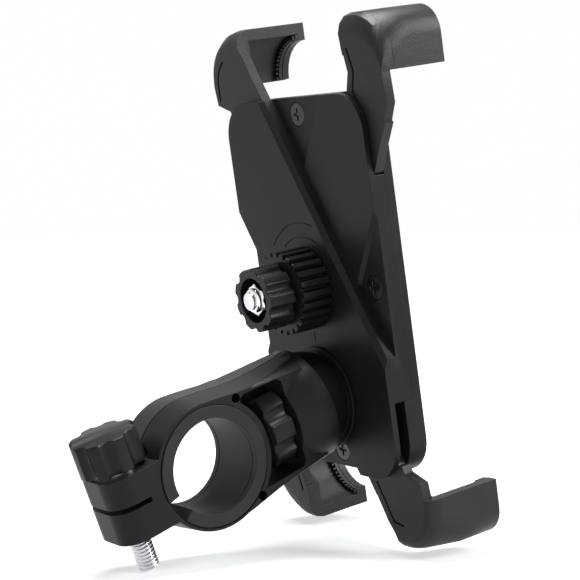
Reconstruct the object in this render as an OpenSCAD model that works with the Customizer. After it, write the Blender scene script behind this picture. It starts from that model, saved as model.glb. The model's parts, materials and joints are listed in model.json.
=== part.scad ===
// Bicycle phone mount: four sliding claws on a gear-driven holder, a ball joint and a handlebar clamp.
// The origin is the centre of the handlebar bore, X runs along the handlebar and +Z is up.
// "Head" sizes are in the holder's own frame: x across the phone, y up the phone, z out of its back.

/* [Handlebar clamp] */
// Radius of the bore in the rubber liner
bar_r = 12.7; // [12:0.1:13.2]
// Outer radius of the rubber liner
liner_r = 16; // [15.6:0.1:16.2]
// Outer radius of the clamp ring
ring_r = 17.8; // [17.4:0.1:18]
// Width of the clamp along the handlebar
clamp_w = 19.6; // [18:0.2:21]
// Distance from the bore centre to the clamp bolt
bolt_reach = 22.8; // [22.8:0.1:24]
// Lean of the clamp bolt away from the bore
bolt_lean = 5.5; // [5:0.1:6]
// Slope of the clamp below the horizontal
clamp_slope = 15.6; // [10:0.2:20]

/* [Ball joint] */
// Distance from the bore centre to the ball centre, along the clamp
ball_reach = 36.8; // [36:0.1:38]
// Height of the ball centre over the clamp's own mid plane
ball_rise = 3.3; // [2.5:0.1:4]
// Outer radius of the dome on the arm
dome_r = 16; // [15.8:0.1:16.4]
// Radius of the ball
ball_r = 7; // [6.6:0.1:7]
// Radius of the lobed lock nut
lock_nut_r = 12; // [11:0.1:12.2]

/* [Phone holder] */
// Lean of the holder from the vertical
head_lean = 9.6; // [0:0.2:15]
// Width of the holder body
body_w = 59.6; // [58:0.2:62]
// Height of the holder body
body_h = 104.4; // [103:0.2:106]
// Corner radius of the holder body
body_corner = 10.5; // [9:0.1:11]
// Height of the upper raised band over the phone back
band_high = 12; // [11.8:0.1:12.4]
// Height of the lower raised band over the phone back
band_low = 8.9; // [8.8:0.1:9.2]
// Outer width over the claws
claw_span = 76.4; // [75:0.2:78]
// Outer height over the claws
claw_height = 145; // [144:0.2:146]
// Reach of the claw lips in front of the phone back
lip_reach = 14.3; // [13:0.1:15]

/* [Drive] */
// Teeth of the hand wheel
wheel_teeth = 24; // [20:1:28]
// Radius of the hand wheel
wheel_r = 11.5; // [11:0.1:12]
// Pitch radius of the pinion, which has twelve teeth
pinion_r = 4.8; // [4.8:0.1:4.8]

/* [Hidden] */
$fn = 64;

black = "#1c1d1f";
soft_black = "#2b2c2e";
steel = "#c8cbd0";

// Clamp
ear_gap_top = -0.9;
ear_gap_bottom = -2.2;
ear_top = 6.7;
ear_bottom = -11;
ear_end = 7.4;
ear_corner = 6.5;
bolt_r = 2.95;
bolt_tip = -21.8;
knob_r = 9;
knob_bottom = 7.5;
knob_top = 16.8;
knob_clearance = 0.35;
washer_t = 0.6;
nut_flat_r = 5.77;
core_hole_r = 1.3;
side_draft = 0.7;
core_hole_at = [[10.9, 14.9], [12, -13]];
slit_from = 196;
slit_to = 221;

// Ball joint, measured along the arm from the ball centre
arm_dip = atan2(ball_rise, ball_reach);
cup_r = 14.6;
cup_floor = 7.7;
housing_r = 14.3;
housing_top = 3;
wall_end = 10.2;
nut_start = 11.3;
nut_end = 18.2;
stud_r = 3;
stud_end = 18.9;
running = 0.08;
insert_r = 9;
insert_top = 4.4;
insert_step = 3.2;

// Holder, z levels over the phone back
ball_y = -31.2;
ball_z = 19.5;
shell_front = 1;
parting = 3.8;
low_arm = [4, 6.9];
high_arm = [7.1, 10];
low_roof = 7.1;
high_roof = 10.2;
deck = 7.9;
diagonal = 30;
band_half = 15.3;
band_bevel = 1.3;
channel_out = 10.5;
channel_in = 15.3;
low_channel = 10.8;
cover_screw_at = [[0, 47.5], [24.4, 0], [0, -47.5], [-24.4, 0]];
screw_head_r = 3.2;
screw_r = 1.4;

// Drive
pinion_teeth = 12;
rack_pitch = 2 * PI * pinion_r / pinion_teeth;
tooth_half = 0.475;
journal_r = 6;
centre_r = 2.45;
wheel_z = [12.4, 21.7];
knob_z = [22.5, 30.6];
lock_knob_r = 8.8;
rack_end = 16;
shank_start = 20;
tail_out = 10.2;
front_corner = 8;
rear_corner = 12.5;
wall_step = -3;
wall_inset = 3.2;
lip_at = [claw_span / 2 - wall_inset - rear_corner, claw_height / 2 - wall_inset - rear_corner];
lip_r = 10.7;
pad_r = rear_corner - 0.15;

function arc(cx, cy, r, a0, a1, n = 10) =
    [for (i = [0:n]) let (a = a0 + (a1 - a0) * i / n) [cx + r * cos(a), cy + r * sin(a)]];

// Frames

// Clamp frame: x along the handlebar, y up across the split, z away from the ball
module clamp_frame() {
    rotate([90 + clamp_slope, 0, 0]) children();
}

// Arm frame: origin at the ball centre, z along the arm towards the handlebar
module arm_frame() {
    clamp_frame() translate([0, ball_rise, -ball_reach]) rotate([arm_dip, 0, 0]) children();
}

// Head frame: the holder's own frame, hung on the ball centre
module head_frame() {
    turn = 90 + clamp_slope;
    centre = [
        0,
        ball_rise * cos(turn) + ball_reach * sin(turn),
        ball_rise * sin(turn) - ball_reach * cos(turn),
    ];
    translate(centre) rotate([90 + head_lean, 0, 0]) translate([0, -ball_y, -ball_z]) children();
}

// Extrudes an outline across the clamp: its first axis points to the ball, its second axis up
module across(w) {
    rotate([0, 90, 0]) linear_extrude(w, center = true) children();
}

// Extrudes an outline from one height to another
module slab(z0, z1) {
    translate([0, 0, z0]) linear_extrude(z1 - z0) children();
}

// Disc outline with concave flutes
module lobed(r, n, flute, depth) {
    difference() {
        circle(r);
        for (i = [0:n - 1])
            rotate(360 * (i + 0.5) / n) translate([r + flute - depth, 0]) circle(flute, $fn = 32);
    }
}

module rounded(w, h, r) {
    square([w - 2 * r, h], center = true);
    square([w, h - 2 * r], center = true);
    for (x = [-1, 1], y = [-1, 1])
        translate([x * (w / 2 - r), y * (h / 2 - r)]) circle(r);
}

// Handlebar clamp

// Outline across the clamp that draws in a little from the middle to both sides, as moulded parts do
module drafted() {
    rotate([0, 90, 0]) for (side = [0, 1]) mirror([0, 0, side])
        linear_extrude(clamp_w / 2, scale = 1 - side_draft / ring_r) children();
}

module arm_outline() {
    polygon([
        [0, ring_r], [6, 17.5], [12, 17], [18, 17], [24, 17.5], [34.1, 18.8],
        [36.8, -11.6], [28, -12], [19, -13.4], [9, -16], [0, -ring_r],
    ]);
}

module window_outline() {
    difference() {
        polygon([
            [12, 14.2], [13.5, 15.2], [24.4, 15.6], [25.6, 14.6],
            [27.8, -8.8], [26.6, -10.2], [14, -11.6], [8, -11.6],
        ]);
        circle(ring_r);
    }
}

// Bolt frame: z runs up the bolt, y points back to the ball
module bolt_frame() {
    clamp_frame() translate([0, 0, bolt_reach]) rotate([bolt_lean - 90, 0, 0]) children();
}

module at_bolt(z) {
    bolt_frame() translate([0, 0, z]) children();
}

// Both ears in one outline, seen along the bolt
module ear_outline() {
    half = clamp_w / 2;
    translate([-half, 0]) square([clamp_w, 10]);
    translate([0, ear_corner - ear_end]) for (x = [-1, 1])
        translate([x * (half - ear_corner), 0]) circle(ear_corner);
    translate([-half, ear_corner - ear_end]) square([clamp_w, ear_end]);
    translate([ear_corner - half, -ear_end]) square([clamp_w - 2 * ear_corner, ear_end]);
}

// Rounds the top and bottom of the arm off towards the dome
module arm_taper() {
    rotate_extrude() polygon([
        [0, 0], [dome_r, 0], [16.3, 5], [16.8, 12], [17.4, 19], [19.5, 24], [24, 30], [24, 60], [0, 60],
    ]);
}

module clamp_body() {
    color(black) difference() {
        union() {
            clamp_frame() rotate([0, 90, 0]) for (side = [0, 1]) mirror([0, 0, side])
                cylinder(r1 = ring_r, r2 = ring_r - side_draft, h = clamp_w / 2);
            intersection() {
                clamp_frame() drafted() arm_outline();
                arm_frame() arm_taper();
            }
            bolt_frame() slab(ear_bottom, ear_top) ear_outline();
            arm_frame() rotate_extrude() intersection() {
                circle(dome_r);
                square(dome_r);
            }
        }
        clamp_frame() {
            across(clamp_w + 2) circle(liner_r + 0.1);
            across(clamp_w + 2) translate([0.3, -0.5]) circle(liner_r);
            across(clamp_w + 20) window_outline();
            for (p = core_hole_at) across(clamp_w + 2) translate(p) circle(core_hole_r);
        }
        bolt_frame() {
            // the split runs through both ears into the bore
            translate([-clamp_w, -30, ear_gap_bottom])
                cube([2 * clamp_w, bolt_reach + 10, ear_gap_top - ear_gap_bottom]);
            translate([0, 0, -30]) cylinder(r = bolt_r + 0.35, h = 60);
            translate([0, 0, ear_top]) cylinder(r = knob_r + knob_clearance, h = 20);
            translate([0, 0, ear_gap_bottom - 5]) cylinder(r = nut_flat_r + 0.1, h = 6, $fn = 6);
        }
        arm_frame() {
            rotate_extrude() intersection() {
                circle(cup_r);
                square([cup_r, cup_floor]);
            }
            cylinder(r = stud_r + running, h = wall_end + 1);
        }
    }
}

module clamp_liner() {
    color(soft_black) clamp_frame() across(clamp_w + 0.8) difference() {
        circle(liner_r);
        circle(bar_r);
        polygon([
            [0, 0], [30 * cos(slit_from), 30 * sin(slit_from)], [30 * cos(slit_to), 30 * sin(slit_to)],
        ]);
    }
}

module clamp_knob() {
    color(black) at_bolt(knob_bottom) difference() {
        linear_extrude(knob_top - knob_bottom) lobed(knob_r, 8, 2.4, 1.2);
        translate([0, 0, -1]) cylinder(r = bolt_r + 0.02, h = 7);
    }
}

module clamp_bolt() {
    color(steel) at_bolt(bolt_tip) {
        cylinder(r1 = bolt_r - 0.6, r2 = bolt_r, h = 0.6);
        translate([0, 0, 0.6]) cylinder(r = bolt_r, h = knob_bottom + 5.8 - bolt_tip - 0.6);
    }
}

module clamp_washer() {
    color(steel) at_bolt(ear_top) difference() {
        cylinder(r = 6.2, h = washer_t);
        translate([0, 0, -1]) cylinder(r = bolt_r + 0.25, h = 3);
    }
}

module clamp_nut() {
    color(steel) at_bolt(ear_gap_bottom - 5) difference() {
        cylinder(r = nut_flat_r, h = 4.8, $fn = 6);
        translate([0, 0, -1]) cylinder(r = bolt_r + 0.1, h = 7);
    }
}

// Ball joint

module ball_lock_nut() {
    color(black) arm_frame() difference() {
        slab(nut_start, nut_end) lobed(lock_nut_r, 8, 2.4, 1.6);
        cylinder(r = stud_r + running, h = nut_end + 1);
    }
}

module stud_washer() {
    color(steel) arm_frame() translate([0, 0, wall_end + 0.05]) difference() {
        cylinder(r = 6, h = nut_start - wall_end - 0.1);
        translate([0, 0, -1]) cylinder(r = stud_r + running, h = 4);
    }
}

module ball_stud() {
    color(steel) arm_frame() {
        sphere(ball_r - running);
        translate([0, 0, 5]) cylinder(r = stud_r, h = stud_end - 5);
    }
}

module socket_insert() {
    color("#d8d6cf") head_frame() translate([0, ball_y, ball_z]) difference() {
        union() {
            translate([0, 0, -7.3]) cylinder(r = insert_r, h = 7.3 + insert_step);
            translate([0, 0, -7.3]) cylinder(r = insert_r - 1.1, h = 7.3 + insert_top);
        }
        sphere(ball_r);
        translate([0, 0, -8]) cylinder(r = 5.4, h = 16);
    }
}

module ball_housing() {
    color(black) head_frame() translate([0, ball_y, ball_z]) difference() {
        rotate_extrude() difference() {
            union() {
                intersection() {
                    circle(housing_r);
                    translate([0, band_high - ball_z]) square([housing_r, ball_z - band_high + housing_top]);
                }
                translate([0, band_high - ball_z]) square([housing_r + 0.1, 0.8]);
                square([10.4, insert_top]);
            }
            translate([0, -20]) square([insert_r + running, 20 + insert_step + 0.1]);
            square([insert_r - 1, 20]);
        }
        for (a = [-1, 1])
            rotate(-90 + 22 * a) translate([11.2, 0, -9]) cylinder(r = 1, h = 6, $fn = 24);
    }
}

module housing_screws() {
    color(steel) head_frame() translate([0, ball_y, 0])
        for (a = [-1, 1])
            rotate(-90 + 22 * a) translate([11.2, 0, 4.6]) {
                cylinder(r = 1.9, h = 1.4);
                cylinder(r = 0.95, h = 11, $fn = 24);
            }
}

// Holder body

module body_outline() {
    rounded(body_w, body_h, body_corner);
}

// Corridor of the upper arms, top left and bottom right
module high_corridor(gap = 0) {
    rotate(diagonal)
        for (s = [0, 180])
            rotate(s) translate([-channel_out + gap, 0])
                square([channel_out + channel_in - 2 * gap, 80]);
}

// Corridor of the lower arms, top right and bottom left
module low_corridor(gap = 0) {
    rotate(-diagonal) square([2 * (low_channel - gap), 160], center = true);
}

// Raised band with bevelled edges along a diagonal
module band(angle, top) {
    foot = band_half + band_bevel;
    intersection() {
        rotate(angle) rotate([90, 0, 0]) linear_extrude(160, center = true) polygon([
            [-foot, deck - 1], [-foot, top - band_bevel], [-band_half, top],
            [band_half, top], [foot, top - band_bevel], [foot, deck - 1],
        ]);
        slab(deck - 1, top) body_outline();
    }
}

module rear_cover() {
    color(black) head_frame() difference() {
        union() {
            slab(parting, deck) body_outline();
            band(diagonal, band_high);
            intersection() {
                band(-diagonal, band_low);
                slab(0, band_low) body_outline();
            }
            translate([0, ball_y, 0]) slab(deck - 1, band_high) circle(housing_r + 0.2);
        }
        slab(parting - 1, high_roof) high_corridor();
        slab(parting - 1, low_roof) low_corridor();
        // hollow parts of the shell beside the corridors
        slab(parting - 1, deck - 1.6) difference() {
            rounded(body_w - 4, body_h - 4, body_corner - 2);
            high_corridor(-1.8);
            low_corridor(-1.8);
            for (p = cover_screw_at) translate(p) circle(4.2);
            translate([0, ball_y - 10.4]) square([15, 9], center = true);
        }
        for (p = cover_screw_at) translate(p) {
            translate([0, 0, parting - 1]) cylinder(r = screw_r + 0.2, h = 10);
            translate([0, 0, deck - 1.4]) cylinder(r = screw_head_r + 0.15, h = 10);
        }
        translate([0, ball_y, 0]) for (a = [-1, 1])
            rotate(-90 + 22 * a) translate([11.2, 0, parting - 1]) {
                cylinder(r = 1.05, h = 12, $fn = 24);
                cylinder(r = 2.1, h = 3.4);
            }
        cylinder(r = journal_r + running, h = band_high + 1);
    }
}

module front_shell() {
    color(black) head_frame() difference() {
        union() {
            slab(shell_front, parting) body_outline();
            slab(parting - 0.5, low_arm[1]) intersection() {
                body_outline();
                difference() {
                    high_corridor(0.15);
                    low_corridor(-0.15);
                }
            }
            for (p = cover_screw_at) translate([p[0], p[1], parting - 0.5]) cylinder(r = 2.6, h = 0.5);
        }
        for (p = cover_screw_at)
            translate([p[0], p[1], shell_front + 0.6]) cylinder(r = screw_r - 0.2, h = 10);
        slab(shell_front - 1, shell_front + 0.8) rounded(46, 88, 6);
        translate([0, 0, shell_front - 1]) cylinder(r = 4.7, h = 2.7, $fn = 6);
        cylinder(r = centre_r + 0.1, h = 10);
    }
}

module cover_screws() {
    color(steel) head_frame() for (p = cover_screw_at) translate(p) difference() {
        union() {
            translate([0, 0, shell_front + 1]) cylinder(r = screw_r - 0.25, h = 5);
            translate([0, 0, deck - 1.3]) cylinder(r = screw_head_r, h = 1.3);
        }
        for (a = [0, 90])
            rotate(a) translate([0, 0, deck]) cube([3.4, 0.8, 1.4], center = true);
    }
}

module front_pad() {
    color(soft_black) head_frame() difference() {
        slab(0, shell_front + 0.7) rounded(45.6, 87.6, 5.8);
        cylinder(r = 5.4, h = 10, center = true);
    }
}

// Drive

module pinion() {
    color(steel) head_frame() difference() {
        union() {
            slab(low_arm[0], high_roof - 0.1) {
                circle(pinion_r - 0.9);
                for (i = [0:pinion_teeth - 1])
                    rotate(360 * i / pinion_teeth) polygon([
                        [3, -0.8], [pinion_r - 0.9, -0.78], [pinion_r, -tooth_half], [pinion_r + 0.7, -0.2],
                        [pinion_r + 0.7, 0.2], [pinion_r, tooth_half], [pinion_r - 0.9, 0.78], [3, 0.8],
                    ]);
            }
            translate([0, 0, high_roof - 0.1]) cylinder(r = journal_r, h = wheel_z[0] - high_roof + 0.1);
            slab(wheel_z[0] - 1, wheel_z[0] + 3) square(7.4, center = true);
        }
        cylinder(r = centre_r + 0.1, h = 30);
    }
}

module gear_wheel() {
    color(black) head_frame() difference() {
        slab(wheel_z[0], wheel_z[1]) difference() {
            circle(wheel_r);
            for (i = [0:wheel_teeth - 1]) rotate(360 * (i + 0.5) / wheel_teeth) polygon([
                [wheel_r - 1.3, -0.35], [wheel_r + 1, -1.15], [wheel_r + 1, 1.15], [wheel_r - 1.3, 0.35],
            ]);
        }
        slab(wheel_z[0] - 1, wheel_z[0] + 3.1) square(7.5, center = true);
        cylinder(r = centre_r + 0.1, h = 30);
    }
}

module spring_washer() {
    color(steel) head_frame() difference() {
        slab(wheel_z[1] + 0.05, knob_z[0] - 0.1) circle(5.5);
        cylinder(r = centre_r + 0.1, h = 40);
    }
}

module lock_knob() {
    color(black) head_frame() difference() {
        slab(knob_z[0], knob_z[1]) lobed(lock_knob_r, 9, 1.7, 1.1);
        cylinder(r = centre_r + 0.1, h = 40);
        translate([0, 0, knob_z[1] - 4.6]) cylinder(r = 6.1, h = 6);
    }
}

module centre_bolt() {
    color(steel) head_frame() {
        translate([0, 0, shell_front + 0.1]) cylinder(r = 4.6, h = 1.5, $fn = 6);
        translate([0, 0, shell_front + 1]) cylinder(r = centre_r, h = knob_z[1] + 1.4 - shell_front - 1);
    }
}

module centre_nut() {
    color(steel) head_frame() difference() {
        translate([0, 0, knob_z[1] - 4.4]) {
            cylinder(r = 4.6, h = 3.8, $fn = 6);
            cylinder(r = 3.7, h = 5);
        }
        cylinder(r = centre_r + 0.02, h = 40);
    }
}

// Claws. Outlines are for the top right corner; n runs across the arm, s along it.

// Toothed strip beside the pinion, and the shank that joins it to the claw
module rack(n_in, n_out, reach) {
    root = pinion_r + 0.95;
    last = floor((rack_end - 1) / rack_pitch);
    translate([root, -rack_end]) square([tail_out - root, rack_end + shank_start + 1]);
    for (i = [-last:last + 1])
        translate([0, (i - 0.5) * rack_pitch]) polygon([
            [root + 0.3, -0.82], [root, -0.82], [pinion_r - 0.7, -0.22],
            [pinion_r - 0.7, 0.22], [root, 0.82], [root + 0.3, 0.82],
        ]);
    translate([n_in, shank_start]) square([n_out - n_in, reach - shank_start]);
}

// Crease round the flat rear face, and the outer corner it rounds off to
function high_crease() = concat([[36.5, 56.6]], arc(26.4, 57.4, 10.2, 0, 84, 8), [[22.2, 67.9]]);
function low_crease() = concat([[38, 56.6]], arc(22, 49.5, 17.9, 26, 90, 8), [[21.9, 67.5]]);
function corner_edge(r) =
    let (x = claw_span / 2, y = claw_height / 2)
    concat([[x, 56.6]], arc(x - r, y - r, r, 0, 90, 8), [[22.5, y]]);

// Rear face of a claw on the upper arms
module high_plate() {
    polygon(concat(
        [[13.6, 52.7], [16, 48], [28.9, 48], [29.9, 50], [35.8, 52]], high_crease(), [[19.8, 64.6]]
    ));
}

// Rear face of a claw on the lower arms
module low_plate() {
    polygon(concat(
        [[20, 48], [26, 42], [29.9, 30.6], [38.5, 48.4]], low_crease(), [[23.9, 57.2], [22.4, 52.4]]
    ));
}

// Corner wall round the phone, from the lip back to the rear face
module corner_wall(z) {
    difference() {
        union() {
            slab(-lip_reach, wall_step) polygon(concat(corner_edge(front_corner), [[22.5, 56.6]]));
            hull() {
                slab(wall_step - 0.1, wall_step) polygon(concat(corner_edge(front_corner), [[22.5, 56.6]]));
                slab(z[0] - 1.6, z[0] - 1.5) polygon(concat(corner_edge(rear_corner), [[22.5, 56.6]]));
            }
        }
        slab(-lip_reach - 1, z[0]) intersection() {
            translate([-claw_span / 2 + wall_inset, -claw_height / 2 + wall_inset])
                square([claw_span - 2 * wall_inset, claw_height - 2 * wall_inset]);
            polygon(concat(
                [[40, 40]], [for (p = corner_edge(rear_corner)) p - wall_inset * [1, 1]], [[0, 80], [0, 40]]
            ));
        }
    }
}

// Rounded shoulder between the rear face and the corner wall
module shoulder(z, crease) {
    edge = corner_edge(rear_corner);
    drop = z[1] - z[0] + 1.6;
    hull() for (t = [0:30:90]) slab(z[1] - drop * (1 - cos(t)) - 0.1, z[1] - drop * (1 - cos(t)))
        polygon(concat(
            [for (i = [0:len(edge) - 1]) crease[i] + (edge[i] - crease[i]) * sin(t)], [[22.5, 62], [30, 56.6]]
        ));
}

// Front lip over the phone's corner
module lip() {
    slab(-lip_reach, -lip_reach + 2.2) polygon(concat(
        corner_edge(front_corner), [[22.5, lip_at[1] + lip_r]], arc(lip_at[0], lip_at[1], lip_r, 90, 0, 8)
    ));
}

// Upper arm claw of the top left corner; the bottom right one is turned by half a turn
module high_claw() {
    color(black) head_frame() {
        slab(high_arm[0], high_arm[1]) rotate(diagonal) rack(0.2, channel_in - 0.3, 58);
        mirror([1, 0, 0]) {
            slab(high_arm[0], high_arm[1]) high_plate();
            shoulder(high_arm, high_crease());
            corner_wall(high_arm);
            lip();
        }
    }
}

module low_claw() {
    color(black) head_frame() {
        slab(low_arm[0], low_arm[1]) rotate(-diagonal) rack(-3.7, 10.2, 56);
        slab(low_arm[0], low_arm[1]) low_plate();
        shoulder(low_arm, low_crease());
        corner_wall(low_arm);
        lip();
    }
}

// Turns a part of the holder by half a turn about the wheel axis
module half_turn() {
    turn = 90 + clamp_slope;
    lean = 90 + head_lean;
    centre = [
        0,
        ball_rise * cos(turn) + ball_reach * sin(turn) - (ball_y * cos(lean) - ball_z * sin(lean)),
        ball_rise * sin(turn) - ball_reach * cos(turn) - (ball_y * sin(lean) + ball_z * cos(lean)),
    ];
    translate(centre) rotate(a = 180, v = [0, -sin(lean), cos(lean)]) translate(-centre) children();
}

// Ribbed rubber pad inside the lip of the top right claw
module pad() {
    front = -lip_reach + 2.2;
    slab(front, front + 1.2) polygon(concat(
        arc(lip_at[0], lip_at[1], pad_r, 0, 90, 8), arc(lip_at[0], lip_at[1], lip_r + 0.15, 90, 0, 8)
    ));
    for (a = [3:7:87])
        slab(front + 1.1, front + 2) translate(lip_at) rotate(a) translate([lip_r + 0.3, -0.35])
            square([pad_r - lip_r - 0.5, 0.7]);
}

module claw_top_left() { high_claw(); }
module claw_top_right() { low_claw(); }
module claw_bottom_left() { half_turn() low_claw(); }
module claw_bottom_right() { half_turn() high_claw(); }

module pad_top_left() { color(soft_black) head_frame() mirror([1, 0, 0]) pad(); }
module pad_top_right() { color(soft_black) head_frame() pad(); }
module pad_bottom_left() { color(soft_black) half_turn() head_frame() pad(); }
module pad_bottom_right() { color(soft_black) half_turn() head_frame() mirror([1, 0, 0]) pad(); }

clamp_body();
clamp_liner();
clamp_knob();
clamp_bolt();
clamp_washer();
clamp_nut();
ball_lock_nut();
stud_washer();
ball_stud();
socket_insert();
ball_housing();
housing_screws();
rear_cover();
front_shell();
cover_screws();
front_pad();
pinion();
gear_wheel();
spring_washer();
lock_knob();
centre_bolt();
centre_nut();
claw_top_left();
claw_top_right();
claw_bottom_left();
claw_bottom_right();
pad_top_left();
pad_top_right();
pad_bottom_left();
pad_bottom_right();
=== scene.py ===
import json
import math

import bmesh
import bpy
from mathutils import Matrix, Vector


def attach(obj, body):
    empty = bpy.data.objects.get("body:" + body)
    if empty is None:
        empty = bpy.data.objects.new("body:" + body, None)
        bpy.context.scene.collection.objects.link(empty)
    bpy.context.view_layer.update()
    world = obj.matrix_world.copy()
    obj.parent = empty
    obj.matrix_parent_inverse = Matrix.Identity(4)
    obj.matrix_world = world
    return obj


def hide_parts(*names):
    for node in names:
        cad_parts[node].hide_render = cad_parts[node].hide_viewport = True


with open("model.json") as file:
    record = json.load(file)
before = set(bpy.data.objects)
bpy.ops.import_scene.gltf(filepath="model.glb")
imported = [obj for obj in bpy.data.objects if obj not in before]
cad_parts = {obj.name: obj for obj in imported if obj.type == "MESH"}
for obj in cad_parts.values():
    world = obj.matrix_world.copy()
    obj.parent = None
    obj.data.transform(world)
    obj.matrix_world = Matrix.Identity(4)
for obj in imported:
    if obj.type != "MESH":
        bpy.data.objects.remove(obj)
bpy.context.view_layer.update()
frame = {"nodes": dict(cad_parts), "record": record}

# Frames: millimetres in a part's own axes to metres in the shared frame ---------------------

MM = 0.001
SLOPE, LEAN = 15.6, 9.6             # of the clamp and of the holder, degrees
RISE, REACH = 3.3, 36.8             # ball centre from the bore centre
BOLT_REACH, BOLT_LEAN = 22.8, 5.5   # clamp bolt from the bore centre
BALL_Y, BALL_Z = -31.2, 19.5        # ball centre in the holder's frame
RING_R = 17.8                       # outer radius of the clamp ring
BAND_HIGH = 12                      # height of the cover's raised band in the holder's frame
HIGH_PLATE, LOW_PLATE = 10, 6.9     # heights of the claws' rear faces
KNOB_TOP = 30.6                     # outer end of the lock knob


def turn_x(degrees):
    return Matrix.Rotation(math.radians(degrees), 4, "X")


CLAMP = Matrix.Scale(MM, 4) @ turn_x(90 + SLOPE)
ARM = CLAMP @ Matrix.Translation((0, RISE, -REACH)) @ turn_x(math.degrees(math.atan2(RISE, REACH)))
BOLT = CLAMP @ Matrix.Translation((0, 0, BOLT_REACH)) @ turn_x(BOLT_LEAN - 90)
BALL = CLAMP @ Vector((0, RISE, -REACH))
HEAD = (Matrix.Translation(BALL) @ Matrix.Scale(MM, 4) @ turn_x(90 + LEAN)
        @ Matrix.Translation((0, -BALL_Y, -BALL_Z)))
TURNED = HEAD @ Matrix.Rotation(math.pi, 4, "Z")        # half a turn about the wheel axis
ACROSS = CLAMP @ Matrix.Rotation(math.pi / 2, 4, "Y")   # x to the ball, z along the bar


# Materials ----------------------------------------------------------------------------------

PLASTIC_EDGE, METAL_EDGE = 0.00025, 0.00015   # radii that the shader rounds edges by, in metres


def node_tree(name):
    mat = bpy.data.materials.new(name)
    mat.use_nodes = True
    tree = mat.node_tree
    tree.nodes.clear()
    out = tree.nodes.new("ShaderNodeOutputMaterial")
    bsdf = tree.nodes.new("ShaderNodeBsdfPrincipled")
    tree.links.new(bsdf.outputs[0], out.inputs[0])
    coords = tree.nodes.new("ShaderNodeTexCoord")
    return mat, tree, bsdf, coords


def noise(tree, coords, scale, detail=3.0, rough=0.6):
    n = tree.nodes.new("ShaderNodeTexNoise")
    n.inputs["Scale"].default_value = scale
    n.inputs["Detail"].default_value = detail
    n.inputs["Roughness"].default_value = rough
    tree.links.new(coords.outputs["Object"], n.inputs["Vector"])
    return n


def ramp(tree, source, low, high, start=0.3, end=0.7):
    r = tree.nodes.new("ShaderNodeMapRange")
    r.inputs["From Min"].default_value = start
    r.inputs["From Max"].default_value = end
    r.inputs["To Min"].default_value = low
    r.inputs["To Max"].default_value = high
    tree.links.new(source, r.inputs["Value"])
    return r.outputs[0]


def mix_colour(tree, factor, dark, light):
    m = tree.nodes.new("ShaderNodeMix")
    m.data_type = "RGBA"
    m.inputs["A"].default_value = (*dark, 1)
    m.inputs["B"].default_value = (*light, 1)
    tree.links.new(factor, m.inputs["Factor"])
    return m.outputs["Result"]


def bump(tree, bsdf, height, strength, distance, edge):
    """Fine grain over edges that the shader rounds by a radius."""
    b = tree.nodes.new("ShaderNodeBump")
    b.inputs["Strength"].default_value = strength
    b.inputs["Distance"].default_value = distance
    tree.links.new(height, b.inputs["Height"])
    e = tree.nodes.new("ShaderNodeBevel")
    e.samples = 6
    e.inputs["Radius"].default_value = edge
    tree.links.new(e.outputs[0], b.inputs["Normal"])
    tree.links.new(b.outputs[0], bsdf.inputs["Normal"])


def plastic(name, dark, light, rough, grain=0.35, grain_scale=2600.0, shine=0.13, depth=0.00006):
    """Moulded plastic or rubber: slow changes of tone and gloss under a fine grain."""
    mat, tree, bsdf, coords = node_tree(name)
    broad = noise(tree, coords, 45.0, 4.0)
    fine = noise(tree, coords, grain_scale, 2.0, 0.7)
    colour = mix_colour(tree, ramp(tree, broad.outputs[0], 0.0, 1.0), dark, light)
    tree.links.new(colour, bsdf.inputs["Base Color"])
    tree.links.new(ramp(tree, broad.outputs[0], rough - 0.04, rough + 0.06), bsdf.inputs["Roughness"])
    bsdf.inputs["Specular IOR Level"].default_value = shine
    bump(tree, bsdf, fine.outputs[0], grain, depth, PLASTIC_EDGE)
    return mat


def metal(name, dark, light, rough, scale=900.0):
    mat, tree, bsdf, coords = node_tree(name)
    broad = noise(tree, coords, 160.0, 4.0)
    fine = noise(tree, coords, scale, 3.0)
    colour = mix_colour(tree, ramp(tree, broad.outputs[0], 0.0, 1.0), dark, light)
    tree.links.new(colour, bsdf.inputs["Base Color"])
    bsdf.inputs["Metallic"].default_value = 1.0
    tree.links.new(ramp(tree, broad.outputs[0], rough - 0.06, rough + 0.1), bsdf.inputs["Roughness"])
    bump(tree, bsdf, fine.outputs[0], 0.12, 0.00004, METAL_EDGE)
    return mat


MATERIALS = {
    "black_plastic": plastic("black_plastic", (0.004, 0.0044, 0.0048), (0.0065, 0.007, 0.0076), 0.4, 0.5),
    "knob_plastic": plastic("knob_plastic", (0.005, 0.005, 0.0055), (0.008, 0.008, 0.0085), 0.3, 0.3),
    "rubber": plastic("rubber", (0.008, 0.0085, 0.009), (0.013, 0.0135, 0.014), 0.5, 0.6, 3400.0,
                      shine=0.16),
    "steel": metal("steel", (0.5, 0.51, 0.53), (0.74, 0.75, 0.77), 0.3),
    "chrome": metal("chrome", (0.66, 0.67, 0.69), (0.85, 0.86, 0.88), 0.16),
    "dark_steel": metal("dark_steel", (0.03, 0.03, 0.032), (0.07, 0.07, 0.072), 0.32),
    "insert_plastic": plastic("insert_plastic", (0.55, 0.54, 0.5), (0.65, 0.64, 0.6), 0.4),
}
CLAW = plastic("claw_plastic", (0.008, 0.0085, 0.0082), (0.013, 0.0135, 0.013), 0.38, 1.0, 2900.0,
               shine=0.15, depth=0.0001)
slot_of = {s["node"]: s["material_slot"] for s in frame["record"]["subparts"]}
body_of = {n: b for b, members in frame["record"]["behaviour"]["bodies"].items() for n in members}


# Mesh tools ---------------------------------------------------------------------------------

WELD = 3e-6        # metres; points nearer than this become one
FLAT = 0.6         # degrees; faces that differ by less become one
CORNER = 30        # degrees; sharper edges are rounded
SOFT = 32          # degrees; what still bends less is shaded smooth
TURN_SHARP = 28    # the same for a body made of rings
THREAD_SHARP = 60  # and for the thread


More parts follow.
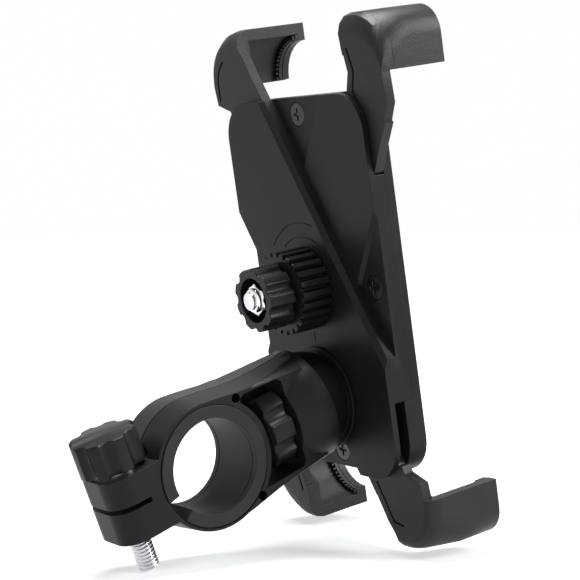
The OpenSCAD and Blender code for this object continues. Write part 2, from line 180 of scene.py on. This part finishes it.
def new_object(name, mesh):
    obj = bpy.data.objects.new(name, mesh)
    bpy.context.scene.collection.objects.link(obj)
    return obj


def mesh_from(name, verts, faces, place):
    mesh = bpy.data.meshes.new(name)
    mesh.from_pydata([tuple(place @ Vector(v)) for v in verts], [], faces)
    bm = bmesh.new()
    bm.from_mesh(mesh)
    bmesh.ops.recalc_face_normals(bm, faces=bm.faces)
    bm.to_mesh(mesh)
    bm.free()
    return mesh


def mark_edges(bm, angle):
    for f in bm.faces:
        f.smooth = True
    limit = math.radians(angle)
    for e in bm.edges:
        e.smooth = len(e.link_faces) == 2 and e.calc_face_angle(0) < limit


def bake(obj):
    """Applies an object's modifiers."""
    bpy.context.view_layer.update()
    graph = bpy.context.evaluated_depsgraph_get()
    mesh = bpy.data.meshes.new_from_object(obj.evaluated_get(graph))
    obj.modifiers.clear()
    obj.data = mesh


def prism(name, outline, z0, z1, place):
    """Closed body from an outline drawn between two heights."""
    n = len(outline)
    verts = [(x, y, z) for z in (z0, z1) for x, y in outline]
    faces = [tuple(range(n)), tuple(range(n, 2 * n))]
    faces += [(i, (i + 1) % n, n + (i + 1) % n, n + i) for i in range(n)]
    return new_object(name, mesh_from(name, verts, faces, place))


def rings(name, levels, place, angles, sharp=TURN_SHARP):
    """Closed body from rings: each level is (z, radius at every angle)."""
    n = len(angles)
    verts = []
    for z, radius in levels:
        verts += [(radius(a) * math.cos(a), radius(a) * math.sin(a), z) for a in angles]
    faces = [tuple(range(n)), tuple(range(n * (len(levels) - 1), n * len(levels)))]
    for k in range(len(levels) - 1):
        low, high = k * n, (k + 1) * n
        faces += [(low + i, low + (i + 1) % n, high + (i + 1) % n, high + i) for i in range(n)]
    mesh = mesh_from(name, verts, faces, place)
    bm = bmesh.new()
    bm.from_mesh(mesh)
    mark_edges(bm, sharp)
    bm.to_mesh(mesh)
    bm.free()
    return new_object(name, mesh)


def even(count):
    return [2 * math.pi * i / count for i in range(count)]


def refine(node, cutters=(), bevel=0.25, mat=None):
    """A copy of a CAD node with clean flat faces, cuts and rounded edges."""
    bm = bmesh.new()
    bm.from_mesh(frame["nodes"][node].data)
    bmesh.ops.remove_doubles(bm, verts=bm.verts, dist=WELD)
    bmesh.ops.dissolve_limit(bm, angle_limit=math.radians(FLAT), verts=bm.verts, edges=bm.edges)
    mesh = bpy.data.meshes.new(node)
    bm.to_mesh(mesh)
    bm.free()
    obj = new_object(node + "_look", mesh)
    for c in cutters:
        m = obj.modifiers.new("cut", "BOOLEAN")
        m.operation, m.solver, m.object = "DIFFERENCE", "EXACT", c
    if cutters:
        bake(obj)
        for c in cutters:
            bpy.data.objects.remove(c)
    m = obj.modifiers.new("round", "BEVEL")
    m.width, m.segments, m.limit_method = bevel * MM, 2, "ANGLE"
    m.angle_limit = math.radians(CORNER)
    m.use_clamp_overlap = True
    bake(obj)
    bm = bmesh.new()
    bm.from_mesh(obj.data)
    mark_edges(bm, SOFT)
    bm.to_mesh(obj.data)
    bm.free()
    if "custom_normal" in obj.data.attributes:
        obj.data.attributes.remove(obj.data.attributes["custom_normal"])
    flat = obj.modifiers.new("flat faces", "WEIGHTED_NORMAL")
    flat.keep_sharp = True
    return dress(obj, node, mat=mat)


def dress(obj, *nodes, mat=None):
    """Gives a piece its material and body, and lets it stand for its CAD nodes."""
    slot = slot_of[nodes[0]]
    obj.data.materials.clear()
    obj.data.materials.append(mat or MATERIALS[slot])
    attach(obj, body_of[nodes[0]])
    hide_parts(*nodes)
    return obj


def lobed(r, n, flute, depth):
    """Radius of a disc with n concave flutes."""
    reach = r + flute - depth

    def radius(a):
        t = (a * n / (2 * math.pi)) % 1.0
        off = (t - 0.5) * 2 * math.pi / n
        s = reach * math.sin(off)
        if abs(s) >= flute:
            return r
        return min(r, reach * math.cos(off) - math.sqrt(flute * flute - s * s))
    return radius


def less(radius, d):
    return lambda a: radius(a) - d


def const(r):
    return lambda a: r


def rounded_levels(z0, z1, radius, edge, steps=3):
    """Levels of a body whose two end edges are rounded."""
    turns = [math.pi / 2 * i / steps for i in range(steps + 1)]

    def level(t, end, inward):
        return end + inward * edge * (1 - math.sin(t)), less(radius, edge * (1 - math.cos(t)))

    return [level(t, z0, 1) for t in reversed(turns)] + [level(t, z1, -1) for t in turns]


def thread(name, z0, z1, major, minor, pitch, place):
    """Bolt with a helical thread and a tapered tip at z0."""
    per_turn, around = 6, 48
    flank, tip_cut, tip_slope = 1.25, 0.25, 1.1
    steps = int(round((z1 - z0) / pitch * per_turn))
    levels = []
    for k in range(steps + 1):
        z = z0 + (z1 - z0) * k / steps

        def radius(a, z=z):
            t = (z / pitch - a / (2 * math.pi)) % 1.0
            wave = 1 - abs(2 * t - 1)
            r = minor + (major - minor) * min(1.0, wave * flank)
            return min(r, minor - tip_cut + (z - z0) * tip_slope)
        levels.append((z, radius))
    return rings(name, levels, place, even(around), THREAD_SHARP)


def stroke(points, width):
    """Thin closed outline along a polyline."""
    left, right = [], []
    for i, p in enumerate(points):
        a = Vector(points[max(i - 1, 0)])
        b = Vector(points[min(i + 1, len(points) - 1)])
        d = (b - a).normalized()
        n = Vector((-d.y, d.x)) * width / 2
        left.append(tuple(Vector(p) + n))
        right.append(tuple(Vector(p) - n))
    return left + right[::-1]


def arc(cx, cy, r, a0, a1, n=16):
    angles = [math.radians(a0 + (a1 - a0) * i / n) for i in range(n + 1)]
    return [(cx + r * math.cos(a), cy + r * math.sin(a)) for a in angles]


# Holder -------------------------------------------------------------------------------------

for node in ("front_shell", "front_pad"):
    refine(node)
refine("ball_housing", bevel=0.35)

# Thin lines engraved in the rear cover: two arcs over the hand wheel and one stroke below it
ENGRAVED = 0.25
LINE_W = 0.4
lines = [arc(0, 0, 14.2, 62, 128, 24), arc(0, 0, 18.2, 72, 140, 24), [(0, -12.4), (0, -15.6)]]
engraving = [
    prism("line_%d" % i, stroke(line, LINE_W), BAND_HIGH - ENGRAVED, BAND_HIGH + 0.5, HEAD)
    for i, line in enumerate(lines)
]
refine("rear_cover", engraving, 0.35)
refine("gear_wheel", bevel=0.2)
refine("cover_screws", bevel=0.25)
refine("lock_knob", bevel=0.5)

# A groove in the rear face of each claw
GROOVE_W, GROOVE_DEPTH = 0.8, 0.5
LOW_GROOVE = [(24.6, 63.6), (26.4, 57.4), (25.0, 52.6), (26.4, 48.6)]
OUTER_GROOVE = [(-34.3, 53.2), (-34.3, 56.6)] + [(-x, y) for x, y in arc(26.4, 57.4, 7.9, 4, 62, 8)]
INNER_GROOVE = [(-17.0, 53.6), (-22.6, 64.4), (-26.5, 65.0)]
for node, place, line, top in (
    ("claw_top_left", HEAD, OUTER_GROOVE, HIGH_PLATE),
    ("claw_top_right", HEAD, LOW_GROOVE, LOW_PLATE),
    ("claw_bottom_left", TURNED, LOW_GROOVE, LOW_PLATE),
    ("claw_bottom_right", TURNED, INNER_GROOVE, HIGH_PLATE),
):
    groove = prism(node + "_groove", stroke(line, GROOVE_W), top - GROOVE_DEPTH, top + 2, place)
    refine(node, [groove], 0.3, mat=CLAW)

# Nut with a nylon ring, deep in the lock knob
NUT_FLAT = 3.98        # centre to flat
CORNER_RATIO = 1.155   # centre to corner over centre to flat


def hexagon(chamfer=0.0):
    def radius(a):
        off = (a + math.pi / 6) % (math.pi / 3) - math.pi / 6
        return min(NUT_FLAT / math.cos(off), NUT_FLAT * (CORNER_RATIO - chamfer))
    return radius


nut = [
    (-4.4, hexagon(0.06)), (-4.1, hexagon()), (-1.4, hexagon()), (-0.9, hexagon(0.05)),
    (-0.6, const(3.85)), (-0.6, const(3.5)), (0.1, const(3.4)), (0.45, const(3.1)), (0.6, const(2.8)),
]
levels = [(KNOB_TOP + z, radius) for z, radius in nut]
dress(rings("centre_nut_look", levels, HEAD, even(96)), "centre_nut")

# Clamp --------------------------------------------------------------------------------------

# Groove where the two halves of the mould meet, along the top of the ring and the arm
SEAM_W, SEAM_DEPTH = 0.44, 0.5
TOP_LINE = arc(0, 0, RING_R, 168, 92) + [(6, 17.5), (12, 17), (18, 17), (24, 17.5), (34.1, 18.8)]
seam = prism("seam", stroke(TOP_LINE, 2 * SEAM_DEPTH), -SEAM_W / 2, SEAM_W / 2, ACROSS)
refine("clamp_body", [seam], 0.45)

# Fine groove in the liner's bore near each rim
BEAD_AT, BEAD_HALF, BEAD_R = 8.2, 0.15, 13.0
beads = [
    rings("bead_%d" % i, [(x - BEAD_HALF, const(BEAD_R)), (x + BEAD_HALF, const(BEAD_R))], ACROSS, even(96))
    for i, x in enumerate((-BEAD_AT, BEAD_AT))
]
refine("clamp_liner", beads, 0.35)

knob = rounded_levels(z0=7.5, z1=16.8, radius=lobed(r=9, n=8, flute=2.4, depth=1.2), edge=0.5)
dress(rings("knob_look", knob, BOLT, even(192)), "clamp_knob")
lock_nut = rounded_levels(z0=11.3, z1=18.2, radius=lobed(r=12, n=8, flute=2.4, depth=1.6), edge=0.6)
dress(rings("lock_nut_look", lock_nut, ARM, even(192)), "ball_lock_nut")
bolt = thread("bolt_look", z0=-21.8, z1=13.0, major=2.95, minor=2.5, pitch=1.0, place=BOLT)
dress(bolt, "clamp_bolt")

# Every CAD node gets its material; those that no piece replaces are seen as they are
for name, obj in frame["nodes"].items():
    obj.data.materials.clear()
    obj.data.materials.append(MATERIALS[slot_of[name]])


# Stage, light and camera --------------------------------------------------------------------

FLOOR_Z = -0.0274
FLOOR_SIZE = 8.0


def floor_plane(mat):
    h = FLOOR_SIZE / 2
    mesh = bpy.data.meshes.new("floor")
    mesh.from_pydata([(-h, -h, 0), (h, -h, 0), (h, h, 0), (-h, h, 0)], [], [(0, 1, 2, 3)])
    mesh.materials.append(mat)
    obj = new_object("floor", mesh)
    obj.location = (0, 0, FLOOR_Z)
    obj.rotation_mode = "QUATERNION"
    obj.rotation_quaternion = Vector((0, 0, 1)).to_track_quat("Z", "Y")


def pale(name, low, high):
    """Matt grey that glows more the farther it lies from the object, like a seamless sweep."""
    mat, tree, bsdf, coords = node_tree(name)
    n = noise(tree, coords, 3.0)
    colour = mix_colour(tree, n.outputs[0], low, high)
    tree.links.new(colour, bsdf.inputs["Base Color"])
    tree.links.new(ramp(tree, n.outputs[0], 0.5, 0.6), bsdf.inputs["Roughness"])
    bsdf.inputs["Specular IOR Level"].default_value = 0.2
    far = tree.nodes.new("ShaderNodeVectorMath")
    far.operation = "LENGTH"
    tree.links.new(coords.outputs["Object"], far.inputs[0])
    bsdf.inputs["Emission Color"].default_value = (0.97, 0.99, 1, 1)
    tree.links.new(ramp(tree, far.outputs["Value"], 0.55, 1.0, 0.1, 0.7), bsdf.inputs["Emission Strength"])
    return mat


floor_plane(pale("floor", (0.31, 0.32, 0.33), (0.33, 0.335, 0.34)))

# A white band round the horizon and a dim ceiling, so that the lamps make the highlights
world = bpy.data.worlds.new("studio")
bpy.context.scene.world = world
world.use_nodes = True
wt = world.node_tree
sky = wt.nodes["Background"]
wc = wt.nodes.new("ShaderNodeTexCoord")
height = wt.nodes.new("ShaderNodeSeparateXYZ")
wt.links.new(wc.outputs["Generated"], height.inputs[0])
sky.inputs[0].default_value = (0.99, 0.995, 1, 1)
wt.links.new(ramp(wt, height.outputs["Z"], 1.0, 0.04, 0.42, 0.7), sky.inputs[1])


def soft_light(name, location, target, size, power):
    data = bpy.data.lights.new(name, "AREA")
    data.shape = "RECTANGLE"
    data.size, data.size_y = size
    data.energy = power
    obj = bpy.data.objects.new(name, data)
    obj.location = location
    obj.rotation_mode = "QUATERNION"
    obj.rotation_quaternion = (Vector(location) - Vector(target)).to_track_quat("Z", "Y")
    bpy.context.scene.collection.objects.link(obj)


soft_light("top_light", (-0.06, 0.0, 0.75), (0, 0.03, 0.03), (0.35, 0.35), 16)
soft_light("side_light", (0.42, 0.42, 0.42), (0, 0.04, 0.06), (0.3, 0.3), 8)

VIEW = Vector((-0.8210, 0.5686, -0.0516)).normalized()
cam_data = bpy.data.cameras.new("camera")
cam = bpy.data.objects.new("camera", cam_data)
bpy.context.scene.collection.objects.link(cam)
cam_data.sensor_width = 36
cam_data.lens = 99.2
cam_data.clip_start, cam_data.clip_end = 0.01, 20
cam.location = (0.3603, -0.2190, 0.0672)
cam.rotation_mode = "QUATERNION"
cam.rotation_quaternion = VIEW.to_track_quat("-Z", "Y")
bpy.context.scene.camera = cam
bpy.context.scene.view_settings.view_transform = "Standard"
